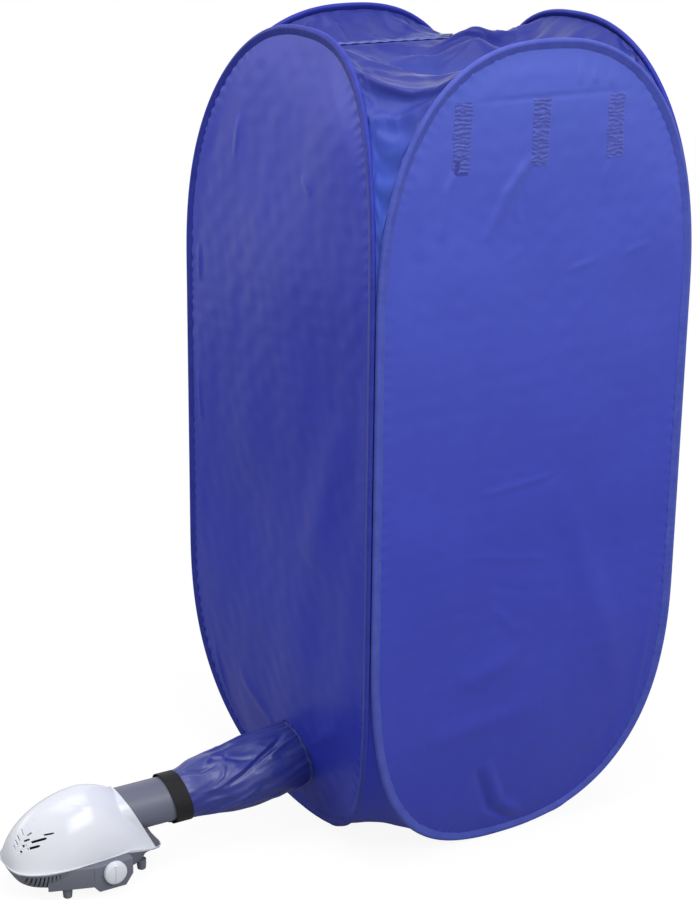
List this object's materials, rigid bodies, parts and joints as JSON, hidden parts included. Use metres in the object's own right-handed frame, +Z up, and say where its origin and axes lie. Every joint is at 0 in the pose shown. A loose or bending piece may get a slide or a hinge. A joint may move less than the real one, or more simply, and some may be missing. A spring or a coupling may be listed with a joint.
{
  "type": "portable clothes dryer",
  "caption": "Free-standing fabric drying tent on sprung oval hoops, warmed through a cloth duct by a small domed fan heater on the floor.",
  "frame": {"origin": "centre of the whole footprint, on the floor", "axes": "+Z up; -Y is the front, where the heater stands and the duct enters; +X is the right panel with the three sewn strips"},
  "size_m": [0.609, 1.1096, 1.334],
  "materials": {
    "blue_cloth": "satin nylon",
    "blue_binding": "woven tape",
    "spring_steel": "bright",
    "white_plastic": "gloss",
    "grey_plastic": "fine matt",
    "dark_rubber": "matt",
    "ceramic": "matt"
  },
  "bodies": {
    "front": {"hoop_wire_front": "spring_steel", "hoop_ferrule_front": "spring_steel", "hoop_sleeve_front": "blue_binding", "panel_front": "blue_cloth", "top_cover_main": "blue_cloth", "top_cover_strip": "blue_cloth", "floor_cloth": "blue_cloth", "duct_sleeve": "blue_cloth", "duct_strap": "dark_rubber", "dome_cover": "white_plastic", "base_shell": "grey_plastic", "outlet_tube": "grey_plastic", "foot_front_left": "grey_plastic", "foot_front_right": "grey_plastic", "foot_rear_left": "grey_plastic", "foot_rear_right": "grey_plastic", "cover_screw_1": "spring_steel", "cover_screw_2": "spring_steel", "cover_screw_3": "spring_steel", "cover_screw_4": "spring_steel", "fan_motor": "spring_steel", "motor_bracket": "grey_plastic", "element_frame": "dark_rubber", "heating_element": "ceramic", "thermal_cutout": "spring_steel", "terminal_block": "white_plastic", "cord_gland": "dark_rubber", "timer_body": "dark_rubber"},
    "zip": {"zip_tape_main": "blue_binding", "zip_tape_strip": "blue_binding"},
    "slider": {"zip_slider": "spring_steel"},
    "pull": {"zip_pull": "spring_steel"},
    "rod_1": {"hanging_rod_1": "spring_steel"},
    "rod_2": {"hanging_rod_2": "spring_steel"},
    "rod_3": {"hanging_rod_3": "spring_steel"},
    "fan": {"fan_impeller": "dark_rubber", "motor_shaft": "spring_steel"},
    "knob": {"timer_knob": "white_plastic", "timer_shaft": "spring_steel"},
    "right": {"hoop_wire_right": "spring_steel", "hoop_ferrule_right": "spring_steel", "hoop_sleeve_right": "blue_binding", "panel_right": "blue_cloth", "rod_sling_right_1": "blue_binding", "rod_sling_right_2": "blue_binding", "rod_sling_right_3": "blue_binding"},
    "back": {"hoop_wire_back": "spring_steel", "hoop_ferrule_back": "spring_steel", "hoop_sleeve_back": "blue_binding", "panel_back": "blue_cloth"},
    "left": {"hoop_wire_left": "spring_steel", "hoop_ferrule_left": "spring_steel", "hoop_sleeve_left": "blue_binding", "panel_left": "blue_cloth", "rod_sling_left_1": "blue_binding", "rod_sling_left_2": "blue_binding", "rod_sling_left_3": "blue_binding"}
  },
  "joints": [
    {"name": "fold", "type": "hinge", "parent": "front", "child": "right", "pos_m": [0.29664, -0.04639, 0], "axis": [0, 0, 1], "range_deg": [-30, 30], "stiffness_Nm_per_rad": 1.5, "deforming": ["top_cover_main", "top_cover_strip", "floor_cloth"]},
    {"name": "fold_left", "type": "hinge", "parent": "front", "child": "left", "pos_m": [-0.29664, -0.04639, 0], "axis": [0, 0, 1], "range_deg": [-30, 30]},
    {"name": "fold_back", "type": "hinge", "parent": "right", "child": "back", "pos_m": [0.29664, 0.54689, 0], "axis": [0, 0, 1], "range_deg": [-30, 30]},
    {"name": "fold_rod_1", "type": "hinge", "parent": "right", "child": "rod_1", "pos_m": [0.30192, 0.10025, 1.1763], "axis": [0, 0, 1], "range_deg": [-30, 30]},
    {"name": "fold_rod_2", "type": "hinge", "parent": "right", "child": "rod_2", "pos_m": [0.30192, 0.23925, 1.1763], "axis": [0, 0, 1], "range_deg": [-30, 30]},
    {"name": "fold_rod_3", "type": "hinge", "parent": "right", "child": "rod_3", "pos_m": [0.30192, 0.38425, 1.1763], "axis": [0, 0, 1], "range_deg": [-30, 30]},
    {"name": "fold_zip", "type": "hinge", "parent": "front", "child": "zip", "pos_m": [-0.17, -0.04639, 0], "axis": [0, 0, 1], "range_deg": [-30, 30]},
    {"name": "zip_travel", "type": "slide", "parent": "zip", "child": "slider", "axis": [0, 1, 0], "range_m": [-0.295, 0]},
    {"name": "pull_swing", "type": "hinge", "parent": "slider", "child": "pull", "pos_m": [-0.17, 0.39455, 1.2845], "axis": [-1, 0, 0], "range_deg": [0, 150]},
    {"name": "timer_turn", "type": "hinge", "parent": "front", "child": "knob", "pos_m": [0.105, -0.40075, 0.04], "axis": [1, 0, 0], "range_deg": [-300, 0]},
    {"name": "fan_spin", "type": "hinge", "parent": "front", "child": "fan", "pos_m": [0.025, -0.38675, 0.098], "axis": [0, 1, 0], "continuous": true}
  ],
  "couplings": [
    {"joint": "fold_left", "follows": "fold", "ratio": 1},
    {"joint": "fold_back", "follows": "fold", "ratio": -1},
    {"joint": "fold_rod_1", "follows": "fold", "ratio": -1},
    {"joint": "fold_rod_2", "follows": "fold", "ratio": -1},
    {"joint": "fold_rod_3", "follows": "fold", "ratio": -1},
    {"joint": "fold_zip", "follows": "fold", "ratio": 1}
  ]
}
